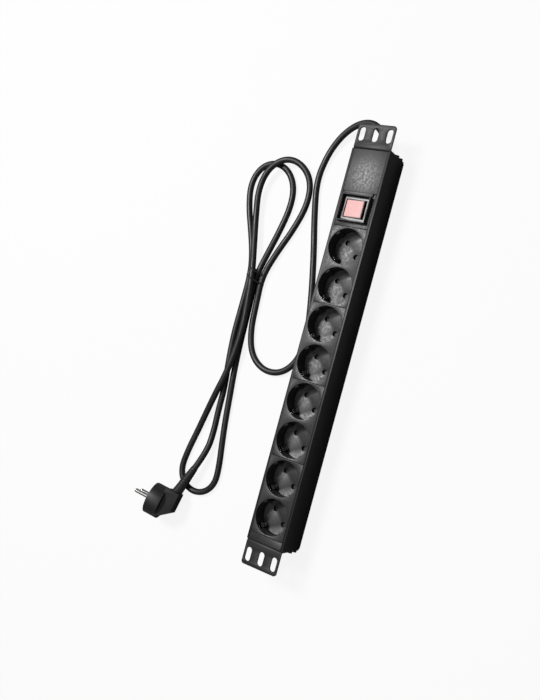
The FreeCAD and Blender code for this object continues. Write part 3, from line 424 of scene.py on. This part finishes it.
def row(name, piece, count, step, growth, finish, at):
    """Copies of a piece's mesh, set down from a place along a step."""
    pattern = bpy.data.objects.new(name + "_pattern", piece)
    scene.collection.objects.link(pattern)
    item = bpy.data.objects.new(name, bpy.data.meshes.new(name))
    scene.collection.objects.link(item)
    change = item.modifiers.new("row", "NODES")
    change.node_group = ROW
    for key, setting in (("Piece", pattern), ("Count", count), ("Step", step), ("Growth", growth),
                         ("Finish", finish.material)):
        change[ROW_SOCKETS[key].identifier] = setting
    item.update_tag()
    made = bpy.data.meshes.new_from_object(item.evaluated_get(bpy.context.evaluated_depsgraph_get()))
    item.modifiers.clear()
    item.data = made
    made.transform(Matrix.Translation(at))
    bpy.data.objects.remove(pattern)
    dress(item, finish)
    return item


def hoop(name, outline, along, bulge, steps=6):
    """A closed band round an outline: its section is half round, along long and bulge thick."""
    points, faces = [], []
    count = len(outline)
    for k in range(steps + 1):
        turn = math.pi * k / steps
        for spot, outward, axis in outline:
            points.append(spot + outward * bulge * math.sin(turn) - axis * along / 2 * math.cos(turn))
    for k in range(steps):
        for n in range(count):
            m = (n + 1) % count
            faces.append((k * count + n, k * count + m, (k + 1) * count + m, (k + 1) * count + n))
    faces += [(steps * count + n, steps * count + (n + 1) % count, (n + 1) % count, n) for n in range(count)]
    mesh = bpy.data.meshes.new(name)
    mesh.from_pydata(points, [], faces)
    mesh.shade_smooth()
    work = bmesh.new()
    work.from_mesh(mesh)
    bmesh.ops.recalc_face_normals(work, faces=work.faces)
    work.to_mesh(mesh)
    work.free()
    return mesh


# ---- Tie
# Two thin black wraps hold the four strands; each lies a little askew.
STRANDS = [(111, 4.75), (127.2, 4.75), (119.8, 12.8)]
WRAP_REACH = CORD_DIAMETER / 2 + 0.1 * MM


def wrap_outline(askew):
    """Points round the strands' outline, and the way outward at each."""
    centre = sum((Vector((0, y, z)) for y, z in STRANDS), Vector()) * MM / 3
    spots = []
    for n in range(72):
        way = Vector((0, math.cos(n * math.pi / 36), math.sin(n * math.pi / 36)))
        far = max((Vector((0, y, z)) * MM for y, z in STRANDS), key=lambda spot: spot.dot(way))
        spot = far + way * WRAP_REACH - centre
        spots.append((spot + Vector((spot.y * askew, 0, 0)), way, Vector((1, 0, 0))))
    return spots, centre


outline, bundle = wrap_outline(0.35)
wraps = row("tie_wraps", hoop("wrap", outline, 2.2 * MM, 0.8 * MM), 2, (10 * MM, 0, 0), 0.0, BLACK_PLASTIC,
            bundle + Vector((58, 0, 0)) * MM)
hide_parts("cord_tie")
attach(wraps, "strip")


# ---- Bush, plug and sleeve
# The cord leaves through a black bush; an angled plug is moulded on its end,
# with a ringed sleeve where the cord goes in.
RUBBER = plain("moulded_rubber", (0.012, 0.012, 0.013), (0.022, 0.022, 0.023), 0.48)
dress(softened("bush", "gland_bush", "strip", 0.4 * MM), RUBBER)
dress(softened("plug", "plug_body", "strip", 1.2 * MM, 4), RUBBER)
dress(softened("sleeve", "plug_sleeve", "strip", 0.4 * MM), RUBBER)
SLEEVE_END, OUTLET = Vector(CORD_ROUTE[-1]) * MM, Vector((-202.5, 140.6, 13)) * MM
sleeve_axis = (OUTLET - SLEEVE_END).normalized()
sideways = sleeve_axis.cross(Vector((0, 0, 1))).normalized()
RING_PITCH, FIRST_RING, RINGS = 3.4 * MM, 3 * MM, 7
SLEEVE_SLIM, SLEEVE_WIDE, SLEEVE_LONG = 3.9 * MM, 6.4 * MM, (OUTLET - SLEEVE_END).length + 5 * MM
slope = (SLEEVE_WIDE - SLEEVE_SLIM) / SLEEVE_LONG
ring_radius = SLEEVE_SLIM + slope * FIRST_RING
ring_outline = []
for n in range(48):
    turn = n * math.pi / 24
    way = sideways * math.cos(turn) + sideways.cross(sleeve_axis) * math.sin(turn)
    ring_outline.append((way * ring_radius, way, sleeve_axis))
rings = row("sleeve_rings", hoop("ring", ring_outline, 1.8 * MM, 0.25 * MM), RINGS, sleeve_axis * RING_PITCH,
            slope * RING_PITCH / ring_radius, RUBBER, SLEEVE_END + sleeve_axis * FIRST_RING)
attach(rings, "strip")


# ---- Studio
# A white floor with a soft shadow, one large lamp beyond the strip's upper
# end, and a weak fill.
floor_mesh = bpy.data.meshes.new("floor")
HALF_FLOOR = 6
floor_mesh.from_pydata([(x * HALF_FLOOR, y * HALF_FLOOR, 0) for x, y in ((-1, -1), (1, -1), (1, 1), (-1, 1))],
                       [], [(0, 1, 2, 3)])
floor = bpy.data.objects.new("floor", floor_mesh)
scene.collection.objects.link(floor)
PAPER = Finish("white_paper", Roughness=0.9)
seen = PAPER.add("LightPath", None)
PAPER.set(Base_Color=PAPER.blend(seen, (0.22, 0.22, 0.22), (0.9, 0.9, 0.9)))
glow = PAPER.tree.nodes.new("ShaderNodeEmission")
glow.inputs["Strength"].default_value = 1
mix = PAPER.tree.nodes.new("ShaderNodeMixShader")
PAPER.tree.links.new((seen * 0.88).socket, mix.inputs[0])
PAPER.tree.links.new(PAPER.shader.outputs[0], mix.inputs[1])
PAPER.tree.links.new(glow.outputs[0], mix.inputs[2])
PAPER.tree.links.new(mix.outputs[0], PAPER.output.inputs["Surface"])
dress(floor, PAPER)


def lamp(name, at, size, power, aim=(0, 0, 0)):
    light = bpy.data.lights.new(name, "AREA")
    light.shape = "RECTANGLE"
    light.size, light.size_y = size
    light.energy = power
    item = bpy.data.objects.new(name, light)
    item.location = at
    item.rotation_euler = (Vector(aim) - Vector(at)).to_track_quat("-Z", "Y").to_euler()
    scene.collection.objects.link(item)
    return item


lamp("key", (0.56, 0.78, 1.9), (0.6, 0.6), 34, (0.05, 0, 0))
lamp("fill", (-0.3, 0.1, 1.8), (1.2, 1.2), 3)
world = bpy.data.worlds.new("studio")
world.use_nodes = True
scene.world = world
back = world.node_tree.nodes["Background"]
back.inputs[0].default_value = (1, 1, 1, 1)
back.inputs[1].default_value = 0.12
scene.view_settings.view_transform = "Standard"
